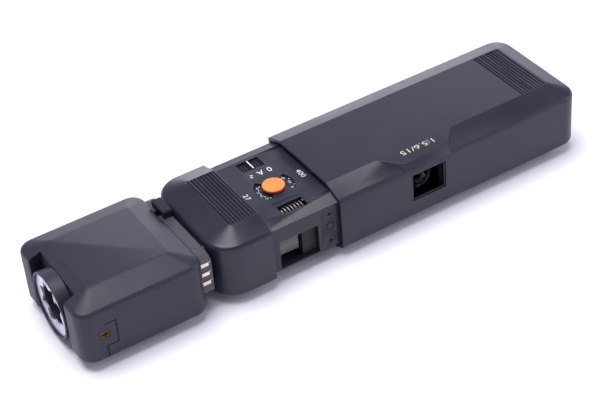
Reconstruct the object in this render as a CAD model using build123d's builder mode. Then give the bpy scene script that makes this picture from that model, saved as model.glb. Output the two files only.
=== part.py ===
"""Subminiature pull-apart camera with a clip-on flash-cube adapter, drawn open.

Frame: X along the camera (adapter at -X, sleeve at +X), Z up, all sizes in millimetres.
The front, with the lens and the finder, faces -Y. The origin is the middle of the footprint,
on the surface that the camera lies on.
"""
from build123d import *
import math
import os

# ---------------------------------------------------------------- driving dimensions
body_width = 30.0
body_height = 17.45
top_bevel_rise = 1.9
bottom_bevel_rise = 2.6
bevel_run = 5.5
crest_corner = 0.9         # corner radius of the flat top and sole
cap_corner = 6.2           # corner radius of each casing, seen from above
sleeve_corner = 4.2
adapter_corner = 3.2
edge_round = 1.2           # round between side face and bevel
sleeve_length = 66.0
travel = 17.0              # how far the camera pulls apart
mouth_gap = 0.2
cap_length = 13.2
neck_length = 3.2
adapter_length = 29.7
socket_proud = 0.2
sleeve_end_bevel = 4.8
cap_end_bevel = 6.1
adapter_right_bevel = 5.2
adapter_left_bevel = 5.5

# walls and fits
sleeve_wall = 0.9
slide_gap = 0.3            # sleeve over chassis
cap_wall = 1.15
chassis_wall = 1.0
adapter_wall = 1.3
end_gap = 0.8              # chassis end to the closed sleeve's end
running_gap = 0.05         # pins, dial and button in their holes
part_gap = 0.1             # between pieces that are assembled side by side
swing_gap = 0.3            # round things that turn or swing freely

overall_length = (sleeve_length + mouth_gap + travel + cap_length + neck_length
                  + adapter_length + socket_proud)

# stations along X
x_right = overall_length / 2
x_mouth = x_right - sleeve_length
x_cap_in = x_mouth - mouth_gap - travel
x_cap_out = x_cap_in - cap_length
x_adapter_right = x_cap_out - neck_length
x_adapter_left = x_adapter_right - adapter_length
x_left = x_adapter_left - socket_proud

# heights in the chassis
chassis_inset = sleeve_wall + slide_gap
deck_top = body_height - chassis_inset - 0.5
deck_thickness = 1.05
seam_z = deck_top - deck_thickness
seam_gap = 0.04
floor_top = chassis_inset + chassis_wall
x_chassis_skin_right = x_right - travel - end_gap
x_deck_left = x_cap_in - 1.5

# finder, in the chassis under the controls
finder_low = x_mouth - 15.1
finder_high = x_mouth - 5.3
finder_bottom = 3.7
finder_top = 10.95
finder_wall = 0.6
finder_lens_depth = 2.4

# controls
control_x = x_mouth - 8.82
button_y = -1.87
button_radius = 2.6
button_top = deck_top + 0.7
button_thickness = 0.5
stem_radius = 1.1
dial_radius = 5.2
dial_thickness = 0.55
dial_hub_radius = 1.9
scale_windows = ((-40, 76, 4.9), (124, 112, 4.4))   # start and sweep in degrees, outer radius
dial_lip = 0.4             # deck left over the dial
selector_y = 8.14
selector_window_x = 5.5
selector_window_y = 3.55
selector_travel = 2.2
selector_rib = 0.45
selector_plate_y = 4.3
selector_thickness = 0.5
coil_x = x_mouth - 8.9
coil_y = 5.4 - body_width / 2
coil_window_x = 6.3
coil_window_y = 3.1
coil_radius = 1.35
coil_recess_back = -6.9
coil_recess_right = x_mouth - 4.93
plate_thickness = 0.8
board_thickness = 0.6

# stop plate and its catch pin on the chassis front
stop_x = x_mouth - 2.35
stop_width = 4.1
stop_low = 4.35
stop_high = 13.7
stop_thickness = 0.5
catch_z = 9.4
catch_radius = 1.0
catch_travel = 0.5
catch_length = 3.2
screw_head_radius = 0.95
screw_head_height = 0.5
screw_shank_radius = 0.5
screw_slot = 0.28

# lens, shutter and film
lens_x = x_mouth + 23.3
lens_z = 9.3
window_width = 9.2
window_height = 7.3
window_z = 10.3
window_frame = 0.45
film_plane_y = 7.2
focal_length = 15.0
barrel_radius = 2.9
barrel_bore = 2.2
barrel_length = 5.0
shutter_plate_thickness = 0.7
blade_thickness = 0.25
spool_spacing = 23.0
chamber_radius = 6.0
chamber_wall = 0.6
chamber_y = 5.0
cassette_bottom = 3.9
cassette_height = 10.5
film_width = 9.2
film_thickness = 0.15
roll_radius = film_plane_y - chamber_y - film_thickness / 2 - 0.05

# advance gear: a rack on the sleeve turns the pinion under the take-up spool
gear_module = 0.5
pinion_teeth = 12
pinion_pitch = gear_module * pinion_teeth / 2
gear_bottom = 2.6
gear_thickness = 1.2
gear_backlash = 0.12
pressure_angle = 20.0
rack_addendum = 0.65 * gear_module
rack_depth = 2.0
shaft_radius = 0.9

# battery in the end cap
battery_radius = 6.0
battery_length = 18.5
battery_z = 9.0
pin_y = -8.0               # flash contact pins
pin_radius = 0.55

# adapter
socket_z = 9.0
socket_radius = 7.75
socket_rim = 0.55
bay_half_width = 8.4
bay_depth = 3.0
neck_half_width = 13.0
neck_bottom = 5.9
neck_top = 15.0
strip_height = 0.9
strip_z = (13.4, 10.95, 8.5)
latch_y = 6.43
latch_width = 5.5
latch_top = 16.9
latch_travel = 0.6
latch_bay = 0.4            # cut into the adapter's end, for the latch to slide into
neck_gap = 0.85            # between the crinkled neck and the end cap
peg_radius = 0.75
peg_y = 4.0

os.makedirs("parts", exist_ok=True)


# ---------------------------------------------------------------- helpers
def plane_y(y):
    """Plane that faces the front, at height y; its sketch axes are X and Z."""
    return Plane.XZ.offset(-y)


def outline(x_low, x_high, half_width, radius, z):
    """Rounded rectangle on the level z."""
    with BuildSketch(Plane.XY.offset(z)) as level:
        with Locations(((x_low + x_high) / 2, 0)):
            RectangleRounded(x_high - x_low, 2 * half_width, radius)
    return level.sketch


def bevelled_bar(x_low, x_high, left_bevel, right_bevel, inset, corner, rounded=False):
    """The family shape of every casing: a bar with bevelled long edges and ends.

    x_low and x_high are the outer skin's ends, corner is its radius seen from above, and inset
    moves every face inward by that much.
    """
    top_slope = top_bevel_rise / bevel_run
    bottom_slope = bottom_bevel_rise / bevel_run
    top_drop = inset * (math.hypot(1, top_slope) - top_slope)
    bottom_lift = inset * (math.hypot(1, bottom_slope) - bottom_slope)
    top_in = inset * (math.hypot(1, top_slope) - 1) / top_slope
    bottom_in = inset * (math.hypot(1, bottom_slope) - 1) / bottom_slope
    side_low = bottom_bevel_rise + bottom_lift
    side_high = body_height - top_bevel_rise - top_drop
    half = body_width / 2

    def side(z):
        return outline(x_low + inset, x_high - inset, half - inset, corner - inset, z)

    def crest(z, left, right, inward):
        run = bevel_run + inward
        return outline(x_low + left + inward, x_high - right - inward, half - run,
                       max(crest_corner - inward, 0.3), z)

    low_side = side(side_low)
    high_side = side(side_high)
    sole = crest(inset, bevel_run, bevel_run, bottom_in)
    crown = crest(body_height - inset, left_bevel, right_bevel, top_in)
    with BuildPart() as bar:
        add(low_side)
        extrude(amount=side_high - side_low)
        loft([sole, low_side], ruled=True)
        loft([high_side, crown], ruled=True)
        if rounded:
            for level in (side_low, side_high):
                fillet(bar.edges().filter_by_position(Axis.Z, level, level), edge_round)
    return bar.part


def block(x_low, x_high, y_low, y_high, z_low, z_high):
    """Plain box between two opposite corners."""
    with BuildPart() as made:
        with BuildSketch(Plane.XY.offset(z_low)):
            with Locations(((x_low + x_high) / 2, (y_low + y_high) / 2)):
                Rectangle(x_high - x_low, y_high - y_low)
        extrude(amount=z_high - z_low)
    return made.part


def upright(x, y, radius, z_low, z_high):
    """Round bar along Z."""
    with BuildPart() as made:
        with BuildSketch(Plane.XY.offset(z_low)):
            with Locations((x, y)):
                Circle(radius)
        extrude(amount=z_high - z_low)
    return made.part


def crosswise(x, z, radius, y_low, y_high):
    """Round bar along Y."""
    with BuildPart() as made:
        with BuildSketch(plane_y(y_low)):
            with Locations((x, z)):
                Circle(radius)
        extrude(amount=y_low - y_high)
    return made.part


def lengthwise(y, z, radius, x_low, x_high):
    """Round bar along X."""
    with BuildPart() as made:
        with BuildSketch(Plane.YZ.offset(x_low)):
            with Locations((y, z)):
                Circle(radius)
        extrude(amount=x_high - x_low)
    return made.part


def cross_screws(face, points, shank, head=screw_head_radius):
    """Cross-head screws whose heads lie flush with the plane face, one at each point."""
    with BuildPart() as screws:
        with BuildSketch(face):
            with Locations(*points):
                Circle(head)
        extrude(amount=-screw_head_height)
        with BuildSketch(face.offset(-screw_head_height)):
            with Locations(*points):
                Circle(screw_shank_radius)
        extrude(amount=-shank)
        with BuildSketch(face):
            with Locations(*points):
                Rectangle(1.3 * head, screw_slot)
                Rectangle(screw_slot, 1.3 * head)
        extrude(amount=-0.7 * screw_head_height, mode=Mode.SUBTRACT)
    return screws.part


def screw_holes(face, points, shank, head=screw_head_radius):
    """The space that cross_screws needs, with assembly clearance."""
    with BuildPart() as holes:
        with BuildSketch(face):
            with Locations(*points):
                Circle(head + running_gap)
        extrude(amount=-screw_head_height - running_gap / 2)
        with BuildSketch(face):
            with Locations(*points):
                Circle(screw_shank_radius + running_gap / 2)
        extrude(amount=-screw_head_height - shank - running_gap)
    return holes.part


def save(part, name):
    """Label a finished piece and write it as one STEP file."""
    part.label = name
    export_step(part, f"parts/{name}.step")


# ---------------------------------------------------------------- sleeve
sleeve_skin = bevelled_bar(x_mouth - 20, x_right, sleeve_end_bevel, sleeve_end_bevel, 0,
                           sleeve_corner, rounded=True)
sleeve_hollow = bevelled_bar(x_mouth - 20, x_right, sleeve_end_bevel, sleeve_end_bevel,
                             sleeve_wall, sleeve_corner)
rib_pitch = 0.8
rib_groove = 0.42
rib_depth = 0.3
sleeve_rib_count = 9
sleeve_rib_x = x_right - 9.0
sleeve_rib_length = 18.4

# the hood over the lens window carries the top face out to the front
hood_reach = body_width / 2 - 0.6
hood_foot_z = body_height - top_bevel_rise - 0.6
hood_foot_back = 1 - body_width / 2 + bevel_run
hood_crest_back = 0.4 - body_width / 2 + bevel_run
hood_left, hood_right = 11.2, 11.0      # half widths at the back of its foot
hood_brow_left, hood_brow_right = 6.5, 6.2
hood_slope = 0.5           # how much narrower the crest is on each side
with BuildSketch(Plane.XY.offset(hood_foot_z)) as hood_foot:
    with BuildLine():
        Polyline((lens_x - hood_left, hood_foot_back), (lens_x - hood_brow_left, -body_width / 2),
                 (lens_x + hood_brow_right, -body_width / 2), (lens_x + hood_right, hood_foot_back),
                 close=True)
    make_face()
with BuildSketch(Plane.XY.offset(body_height)) as hood_crest:
    with BuildLine():
        Polyline((lens_x - hood_left + hood_slope, hood_crest_back),
                 (lens_x - hood_brow_left + hood_slope, -hood_reach),
                 (lens_x + hood_brow_right - hood_slope, -hood_reach),
                 (lens_x + hood_right - hood_slope, hood_crest_back), close=True)
    make_face()

with BuildPart() as sleeve:
    add(sleeve_skin)
    loft([hood_foot.sketch, hood_crest.sketch], ruled=True)
    add(sleeve_hollow, mode=Mode.SUBTRACT)
    split(bisect_by=Plane.YZ.offset(x_mouth), keep=Keep.TOP)
    with BuildSketch(plane_y(-body_width / 2)):
        with Locations((lens_x, window_z)):
            RectangleRounded(window_width, window_height, 0.5)
    extrude(amount=-sleeve_wall - slide_gap, mode=Mode.SUBTRACT)
    with BuildSketch(Plane.XY.offset(body_height)):
        with Locations((sleeve_rib_x, 0)):
            with GridLocations(rib_pitch, 0, sleeve_rib_count, 1):
                Rectangle(rib_groove, sleeve_rib_length)
    extrude(amount=-rib_depth, mode=Mode.SUBTRACT)
save(sleeve.part, "sleeve")

# thin frame pressed into the lens window, standing back from the sleeve's face
with BuildPart() as window_rim:
    with BuildSketch(plane_y(-body_width / 2 + 0.25)):
        with Locations((lens_x, window_z)):
            RectangleRounded(window_width - 0.04, window_height - 0.04, 0.48)
            RectangleRounded(window_width - 2 * window_frame, window_height - 2 * window_frame,
                             0.3, mode=Mode.SUBTRACT)
    extrude(amount=-sleeve_wall + 0.3)
save(window_rim.part, "lens_window_frame")

# ---------------------------------------------------------------- chassis tray
chassis_skin = bevelled_bar(x_cap_out, x_chassis_skin_right, cap_end_bevel, sleeve_end_bevel,
                            chassis_inset, cap_corner)
chassis_hollow = bevelled_bar(x_cap_out, x_chassis_skin_right, cap_end_bevel, sleeve_end_bevel,
                              chassis_inset + chassis_wall, cap_corner)
post_points = [(x_mouth + 3.2, 9.5), (x_mouth + 3.2, -9.5),
               (x_chassis_skin_right - 5.0, 8.5), (x_chassis_skin_right - 5.0, -8.5)]
post_radius = 1.6
half_tray = body_width / 2 - chassis_inset - 0.4
rack_y = chamber_y - pinion_pitch
rack_slot_low = rack_y - rack_depth - swing_gap
rack_slot_high = rack_y + rack_addendum + swing_gap

with BuildPart() as tray_inner:
    with BuildSketch(Plane.XY.offset(chassis_inset)):
        with Locations(((finder_low + finder_high) / 2, 0)):
            Rectangle(finder_high - finder_low + 2 * finder_wall, 2 * half_tray)
    extrude(amount=finder_top + finder_wall - chassis_inset)
    with BuildSketch(Plane.XY.offset(chassis_inset)):
        with Locations(*post_points):
            Circle(post_radius)
    extrude(amount=seam_z - seam_gap - chassis_inset)
    add(chassis_skin, mode=Mode.INTERSECT)

coil_z = deck_top - deck_thickness / 2 - 0.25 - coil_radius / 2
stop_points = [(stop_x, stop_high - 1.1), (stop_x, stop_low + 1.0)]
chassis_front = -body_width / 2 + chassis_inset
with BuildPart() as chassis:
    add(chassis_skin)
    add(chassis_hollow, mode=Mode.SUBTRACT)
    add(tray_inner.part)
    split(bisect_by=Plane.XY.offset(seam_z - seam_gap), keep=Keep.BOTTOM)
    # finder tunnel, front to back
    with BuildSketch(plane_y(-body_width)):
        with Locations(((finder_low + finder_high) / 2, (finder_bottom + finder_top) / 2)):
            Rectangle(finder_high - finder_low, finder_top - finder_bottom)
    extrude(amount=-2 * body_width, mode=Mode.SUBTRACT)
    # lens opening behind the sleeve's window
    with BuildSketch(plane_y(-body_width / 2)):
        with Locations((lens_x, lens_z)):
            RectangleRounded(window_width - 1.0, window_height - 0.6, 0.6)
    extrude(amount=-chassis_inset - chassis_wall - 0.5, mode=Mode.SUBTRACT)
    # seat of the stop plate, and the catch pin's hole
    with BuildSketch(plane_y(chassis_front)):
        with Locations((stop_x, (stop_low + stop_high) / 2)):
            RectangleRounded(stop_width + part_gap, stop_high - stop_low + part_gap, 0.85)
    extrude(amount=-stop_thickness - 0.02, mode=Mode.SUBTRACT)
    with BuildSketch(plane_y(chassis_front)):
        with Locations((stop_x, catch_z)):
            Circle(catch_radius + running_gap)
        with Locations(*stop_points):
            Circle(screw_shank_radius + running_gap / 2)
    extrude(amount=-2 * chassis_wall, mode=Mode.SUBTRACT)
    # slot for the rack in the closed end
    with BuildSketch(Plane.YZ.offset(x_chassis_skin_right - 8)):
        with Locations(((rack_slot_low + rack_slot_high) / 2, gear_bottom + gear_thickness / 2)):
            Rectangle(rack_slot_high - rack_slot_low, gear_thickness + 2 * swing_gap)
    extrude(amount=10, mode=Mode.SUBTRACT)
    # pilot holes in the posts
    with BuildSketch(Plane.XY.offset(seam_z)):
        with Locations(*post_points):
            Circle(screw_shank_radius + running_gap / 2)
    extrude(amount=-5, mode=Mode.SUBTRACT)
    # drive shaft's bearing in the floor
    with BuildSketch(Plane.XY.offset(floor_top)):
        with Locations((lens_x + spool_spacing / 2, chamber_y)):
            Circle(shaft_radius + running_gap)
    extrude(amount=-0.6 * chassis_wall, mode=Mode.SUBTRACT)
    # holes of the flash contacts in the battery end
    with BuildSketch(Plane.YZ.offset(x_cap_out)):
        with Locations(*[(pin_y, z) for z in strip_z]):
            Circle(pin_radius + running_gap / 2)
    extrude(amount=chassis_inset + chassis_wall + 1, mode=Mode.SUBTRACT)
    # room for the coil in the tray's lip
    add(block(coil_x - coil_window_x / 2, coil_x + coil_window_x / 2, coil_y - coil_radius - part_gap,
              coil_y, coil_z - coil_radius - part_gap, seam_z), mode=Mode.SUBTRACT)
save(chassis.part, "chassis")

# ---------------------------------------------------------------- deck with the control openings
deck_screw_shank = 3.0
coil_recess_left = coil_x - coil_window_x / 2 - 0.35
pocket_top = deck_top - dial_lip
selector_length = selector_window_x + 2 * selector_travel + 1.0
with BuildPart() as deck:
    add(chassis_skin)
    split(bisect_by=Plane.XY.offset(seam_z), keep=Keep.TOP)
    split(bisect_by=Plane.XY.offset(deck_top), keep=Keep.BOTTOM)
    split(bisect_by=Plane.YZ.offset(x_deck_left), keep=Keep.TOP)
    # dial pocket from below, button hole and the two scale windows from above
    with BuildSketch(Plane.XY.offset(seam_z)):
        with Locations((control_x, button_y)):
            Circle(dial_radius + swing_gap)
    extrude(amount=pocket_top - seam_z, mode=Mode.SUBTRACT)
    with BuildSketch(Plane.XY.offset(deck_top)):
        with Locations((control_x, button_y)):
            Circle(button_radius + running_gap)
        for start, sweep, outer in scale_windows:
            with BuildLine():
                first = Vector(control_x, button_y) + Vector(outer, 0).rotate(Axis.Z, start)
                last = Vector(control_x, button_y) + Vector(outer, 0).rotate(Axis.Z, start + sweep)
                CenterArc((control_x, button_y), outer, start, sweep)
                Line(last, (control_x, button_y))
                Line((control_x, button_y), first)
            make_face()
    extrude(amount=-dial_lip - 0.1, mode=Mode.SUBTRACT)
    # selector pocket and window
    with BuildSketch(Plane.XY.offset(seam_z)):
        with Locations((control_x, selector_y)):
            Rectangle(selector_length + 2 * selector_travel + 2 * part_gap,
                      selector_plate_y + 2 * part_gap)
    extrude(amount=selector_thickness + 2 * part_gap, mode=Mode.SUBTRACT)
    with BuildSketch(Plane.XY.offset(deck_top)):
        with Locations((control_x, selector_y)):
            Rectangle(selector_window_x, selector_window_y)
        with Locations((coil_x, coil_y)):
            RectangleRounded(coil_window_x, coil_window_y, 0.3)
    extrude(amount=-deck_thickness, mode=Mode.SUBTRACT)
    with BuildSketch(Plane.XY.offset(deck_top)):
        with Locations(((coil_recess_left + coil_recess_right) / 2,
                        (coil_recess_back - body_width / 2) / 2)):
            Rectangle(coil_recess_right - coil_recess_left, body_width / 2 + coil_recess_back)
    extrude(amount=-0.2, mode=Mode.SUBTRACT)
    with BuildSketch(Plane.XY.offset(deck_top)):
        with Locations(*post_points):
            Circle(screw_head_radius + running_gap)
    extrude(amount=-screw_head_height - running_gap, mode=Mode.SUBTRACT)
    with BuildSketch(Plane.XY.offset(deck_top)):
        with Locations(*post_points):
            Circle(screw_shank_radius + running_gap / 2)
    extrude(amount=-deck_thickness, mode=Mode.SUBTRACT)
save(deck.part, "deck")

save(cross_screws(Plane.XY.offset(deck_top), post_points, deck_screw_shank), "deck_screws")

# ---------------------------------------------------------------- end cap
cap_skin = bevelled_bar(x_cap_out, x_cap_in + 20, cap_end_bevel, sleeve_end_bevel, 0,
                        cap_corner, rounded=True)
cap_hollow = bevelled_bar(x_cap_out, x_cap_in + 20, cap_end_bevel, sleeve_end_bevel,
                          cap_wall, cap_corner)
cap_rib_count = 9
cap_rib_x = x_cap_in - 3.6
with BuildPart() as end_cap:
    add(cap_skin)
    add(cap_hollow, mode=Mode.SUBTRACT)
    split(bisect_by=Plane.YZ.offset(x_cap_in), keep=Keep.BOTTOM)
    with BuildSketch(Plane.XY.offset(body_height)):
        with Locations((cap_rib_x, 0)):
            with GridLocations(rib_pitch, 0, cap_rib_count, 1):
                Rectangle(rib_groove, sleeve_rib_length)
    extrude(amount=-rib_depth, mode=Mode.SUBTRACT)
    # the adapter's two pegs locate in these
    with BuildSketch(Plane.YZ.offset(x_cap_out - 1)):
        with Locations((-peg_y, battery_z), (peg_y, battery_z)):
            Circle(peg_radius + running_gap)
    extrude(amount=1 + cap_wall, mode=Mode.SUBTRACT)
    with BuildSketch(Plane.YZ.offset(x_cap_out - 1)):
        with Locations(*[(pin_y, z) for z in strip_z]):
            Circle(pin_radius + running_gap / 2)
    extrude(amount=1 + cap_wall, mode=Mode.SUBTRACT)
save(end_cap.part, "end_cap")

# ---------------------------------------------------------------- stop plate and catch pin
stop_face = plane_y(chassis_front)
stop_screw_shank = 1.6
with BuildPart() as stop_plate:
    with BuildSketch(stop_face):
        with Locations((stop_x, (stop_low + stop_high) / 2)):
            RectangleRounded(stop_width, stop_high - stop_low, 0.8)
        with Locations((stop_x, catch_z)):
            Circle(catch_radius + running_gap, mode=Mode.SUBTRACT)
        with Locations(*stop_points):
            Circle(screw_shank_radius + running_gap / 2, mode=Mode.SUBTRACT)
    extrude(amount=-stop_thickness)
    with BuildSketch(stop_face):
        with Locations(*stop_points):
            Circle(screw_head_radius + running_gap)
    extrude(amount=-0.25, mode=Mode.SUBTRACT)
save(stop_plate.part, "stop_plate")

with BuildPart() as stop_screws:
    with BuildSketch(stop_face):
        with Locations(*stop_points):
            Circle(screw_head_radius)
    extrude(amount=-0.23)
    with BuildSketch(stop_face):
        with Locations(*stop_points):
            Circle(screw_shank_radius)
    extrude(amount=-stop_screw_shank)
    with BuildSketch(stop_face):
        with Locations(*stop_points):
            Rectangle(1.3 * screw_head_radius, screw_slot)
            Rectangle(screw_slot, 1.3 * screw_head_radius)
    extrude(amount=-0.35, mode=Mode.SUBTRACT)
save(stop_screws.part, "stop_plate_screws")

with BuildPart() as catch_pin:
    with BuildSketch(plane_y(chassis_front - 0.15)):
        with Locations((stop_x, catch_z)):
            Circle(catch_radius)
    extrude(amount=-catch_length)
    fillet(catch_pin.faces().sort_by(Axis.Y)[0].edges(), 0.3)
save(catch_pin.part, "catch_pin")

with BuildPart() as catch_spring:
    spring_y = chassis_front - 0.15 + catch_length + catch_travel + part_gap
    with BuildSketch(plane_y(spring_y)):
        with Locations((stop_x, catch_z)):
            Circle(0.8 * catch_radius)
            Circle(0.5 * catch_radius, mode=Mode.SUBTRACT)
    extrude(amount=-2.5)
save(catch_spring.part, "catch_spring")

# ---------------------------------------------------------------- controls
control_low = seam_z - seam_gap - plate_thickness
board_low = finder_top + finder_wall + 0.1
board_high = board_low + board_thickness
dial_low = seam_z + 0.05
selector_low = seam_z + part_gap
plate_left = x_cap_in + 0.5
plate_right = x_mouth - 1.2
plate_half = 10.5
leg_y = 9.4
leg_radius = 0.7
leg_points = [(x, y) for x in (finder_low + 0.4, finder_high + 0.2) for y in (-leg_y, leg_y)]
with BuildPart() as control_plate:
    with BuildSketch(Plane.XY.offset(control_low)):
        with Locations(((plate_left + plate_right) / 2, 0)):
            Rectangle(plate_right - plate_left, 2 * plate_half)
        with Locations((control_x, button_y)):
            Circle(dial_hub_radius + running_gap, mode=Mode.SUBTRACT)
        with Locations((coil_x, coil_y)):
            Rectangle(coil_window_x + 0.4, 4.2, mode=Mode.SUBTRACT)
    extrude(amount=plate_thickness)
    with BuildSketch(Plane.XY.offset(finder_top + finder_wall + 0.02)):
        with Locations(*leg_points):
            Circle(leg_radius)
    extrude(amount=control_low - finder_top - finder_wall)
save(control_plate.part, "control_plate")

with BuildPart() as speed_dial:
    with BuildSketch(Plane.XY.offset(dial_low)):
        with Locations((control_x, button_y)):
            Circle(dial_radius)
    extrude(amount=dial_thickness)
    with BuildSketch(Plane.XY.offset(dial_low)):
        with Locations((control_x, button_y)):
            Circle(dial_hub_radius)
    extrude(amount=-plate_thickness)
    with BuildSketch(Plane.XY.offset(dial_low + dial_thickness)):
        with Locations((control_x, button_y)):
            Circle(stem_radius + running_gap)
    extrude(amount=-dial_thickness - plate_thickness, mode=Mode.SUBTRACT)
save(speed_dial.part, "film_speed_dial")

stem_low = board_high + 0.9        # the spring stands on the board, under the stem
with BuildPart() as shutter_button:
    with BuildSketch(Plane.XY.offset(button_top)):
        with Locations((control_x, button_y)):
            Circle(button_radius)
    extrude(amount=-button_thickness)
    fillet(shutter_button.faces().sort_by(Axis.Z)[-1].edges(), 0.2)
    with BuildSketch(Plane.XY.offset(stem_low)):
        with Locations((control_x, button_y)):
            Circle(stem_radius)
    extrude(amount=button_top - 0.3 - stem_low)
save(shutter_button.part, "shutter_button")

with BuildPart() as button_spring:
    with BuildSketch(Plane.XY.offset(board_high + 0.02)):
        with Locations((control_x, button_y)):
            Circle(stem_radius)
            Circle(0.6 * stem_radius, mode=Mode.SUBTRACT)
    extrude(amount=stem_low - board_high - 0.04)
save(button_spring.part, "button_spring")

with BuildPart() as selector:
    with BuildSketch(Plane.XY.offset(selector_low)):
        with Locations((control_x, selector_y)):
            Rectangle(selector_length, selector_plate_y)
    extrude(amount=selector_thickness)
    with BuildSketch(Plane.XY.offset(selector_low + selector_thickness)):
        with Locations((control_x, selector_y)):
            Rectangle(selector_rib, selector_window_y - 0.3)
    extrude(amount=deck_top - selector_low - selector_thickness + 0.1)
    with BuildSketch(Plane.XY.offset(selector_low + selector_thickness)):
        for side in (-1, 1):
            with Locations((control_x + side * 1.5, selector_y)):
                with GridLocations(0.7, 0, 3, 1):
                    Rectangle(0.3, selector_window_y - 0.8)
    extrude(amount=-0.2, mode=Mode.SUBTRACT)
save(selector.part, "mode_selector")

# small coil lying in the window nearest the front edge; its envelope
with BuildPart() as coil:
    with BuildSketch(Plane.YZ.offset(coil_x - coil_window_x / 2 + 0.15)):
        with Locations((coil_y, coil_z)):
            Circle(coil_radius)
            Circle(coil_radius - 0.7, mode=Mode.SUBTRACT)
    extrude(amount=coil_window_x - 0.3)
save(coil.part, "window_coil")

board_offset = 1.4
board_length = finder_high - finder_low + 2.2
board_width = 16.8
with BuildPart() as board:
    with BuildSketch(Plane.XY.offset(board_low)):
        with Locations(((finder_low + finder_high) / 2 + board_offset, 0)):
            Rectangle(board_length, board_width)
    extrude(amount=board_thickness)
save(board.part, "circuit_board")

chip_places = [(finder_low + 2.2, 5.2, 3.2, 2.4), (finder_low + 2.4, -5.0, 2.6, 4.2),
               (finder_high - 1.2, 4.6, 2.2, 1.2), (finder_high - 1.0, 1.6, 1.2, 2.0),
               (finder_high + 0.4, -5.4, 2.0, 1.2)]
chip_height = 0.9
with BuildPart() as chips:
    with BuildSketch(Plane.XY.offset(board_high + 0.01)):
        for x, y, long, wide in chip_places:
            with Locations((x, y)):
                Rectangle(long, wide)
    extrude(amount=chip_height)
save(chips.part, "board_components")

# ---------------------------------------------------------------- finder glasses
finder_mid_x = (finder_low + finder_high) / 2
finder_mid_z = (finder_bottom + finder_top) / 2
glass_width = finder_high - finder_low - 2 * part_gap
glass_height = finder_top - finder_bottom - 2 * part_gap
# the front block fills the upper left of the tunnel, a ribbed baffle stands beside it
block_width = 6.0
block_height = 5.6
with BuildPart() as finder_front:
    with BuildSketch(plane_y(chassis_front + 2.0)):
        with Locations((finder_low + part_gap + block_width / 2,
                        finder_top - part_gap - block_height / 2)):
            Rectangle(block_width, block_height)
    extrude(amount=-finder_lens_depth)
    chamfer(finder_front.faces().sort_by(Axis.Y)[0].edges(), 0.4)
save(finder_front.part, "finder_front_lens")

baffle_width = finder_high - finder_low - block_width - 3 * part_gap
with BuildPart() as baffle:
    with BuildSketch(Plane.XY.offset(finder_bottom + part_gap)):
        with Locations((finder_high - part_gap - baffle_width / 2, chassis_front + 3.4)):
            Rectangle(baffle_width, 4.4)
        with Locations((finder_high - part_gap - baffle_width, chassis_front + 2.6)):
            with GridLocations(0, 0.6, 1, 5):
                Rectangle(0.5, 0.25, mode=Mode.SUBTRACT)
    extrude(amount=glass_height)
save(baffle.part, "finder_baffle")

with BuildPart() as finder_rear:
    with BuildSketch(plane_y(-chassis_front - 1.0)):
        with Locations((finder_mid_x, finder_mid_z)):
            Rectangle(glass_width, glass_height)
    extrude(amount=1.6)
save(finder_rear.part, "finder_rear_lens")

# ---------------------------------------------------------------- lens and shutter
lens_principal = film_plane_y - focal_length
barrel_front = lens_principal - 0.73 * barrel_length
barrel_back = barrel_front + barrel_length
with BuildPart() as barrel:
    with BuildSketch(plane_y(barrel_front)):
        with Locations((lens_x, lens_z)):
            Circle(barrel_radius)
            Circle(barrel_bore, mode=Mode.SUBTRACT)
    extrude(amount=-barrel_length)
    chamfer(barrel.faces().sort_by(Axis.Y)[0].edges().sort_by(SortBy.LENGTH)[0], 0.3)
save(barrel.part, "lens_barrel")

glass_fit = barrel_bore - 0.03
for name, y_low, thickness, bulge in (("front_lens", barrel_front + 0.7, 1.3, 0.35),
                                      ("rear_lens", lens_principal + 0.45, 0.8, 0.2)):
    ball = (glass_fit ** 2 + bulge ** 2) / (2 * bulge)
    with BuildPart() as glass:
        with BuildSketch(plane_y(y_low)):
            with Locations((lens_x, lens_z)):
                Circle(glass_fit)
        extrude(amount=-thickness)
        with Locations((lens_x, y_low + ball - bulge, lens_z)):
            Sphere(ball, mode=Mode.INTERSECT)
    save(glass.part, name)

with BuildPart() as stop_ring:
    with BuildSketch(plane_y(lens_principal - 0.4)):
        with Locations((lens_x, lens_z)):
            Circle(glass_fit)
            Circle(focal_length / 5.6 / 2, mode=Mode.SUBTRACT)
    extrude(amount=-0.2)
save(stop_ring.part, "aperture_ring")

cell_x = lens_x - 3.15
cell_z = lens_z + 2.35
with BuildPart() as light_cell:
    with BuildSketch(plane_y(barrel_front + 0.4)):
        with Locations((cell_x, cell_z)):
            Circle(0.65)
    extrude(amount=-2.0)
save(light_cell.part, "light_cell")

pivot_x = lens_x + 4.6
pivot_z = lens_z - 4.1
pivot_radius = 0.5
shutter_y = barrel_back + 0.05
with BuildPart() as shutter_plate:
    with BuildSketch(plane_y(shutter_y)):
        with Locations((lens_x, lens_z - 0.6)):
            Rectangle(15.0, 11.2)
        with Locations((lens_x, lens_z)):
            Circle(barrel_bore, mode=Mode.SUBTRACT)
    extrude(amount=-shutter_plate_thickness)
    with BuildSketch(plane_y(shutter_y + shutter_plate_thickness)):
        with Locations((pivot_x, pivot_z)):
            Circle(pivot_radius)
    extrude(amount=-blade_thickness - 0.2)
save(shutter_plate.part, "shutter_plate")

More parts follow.
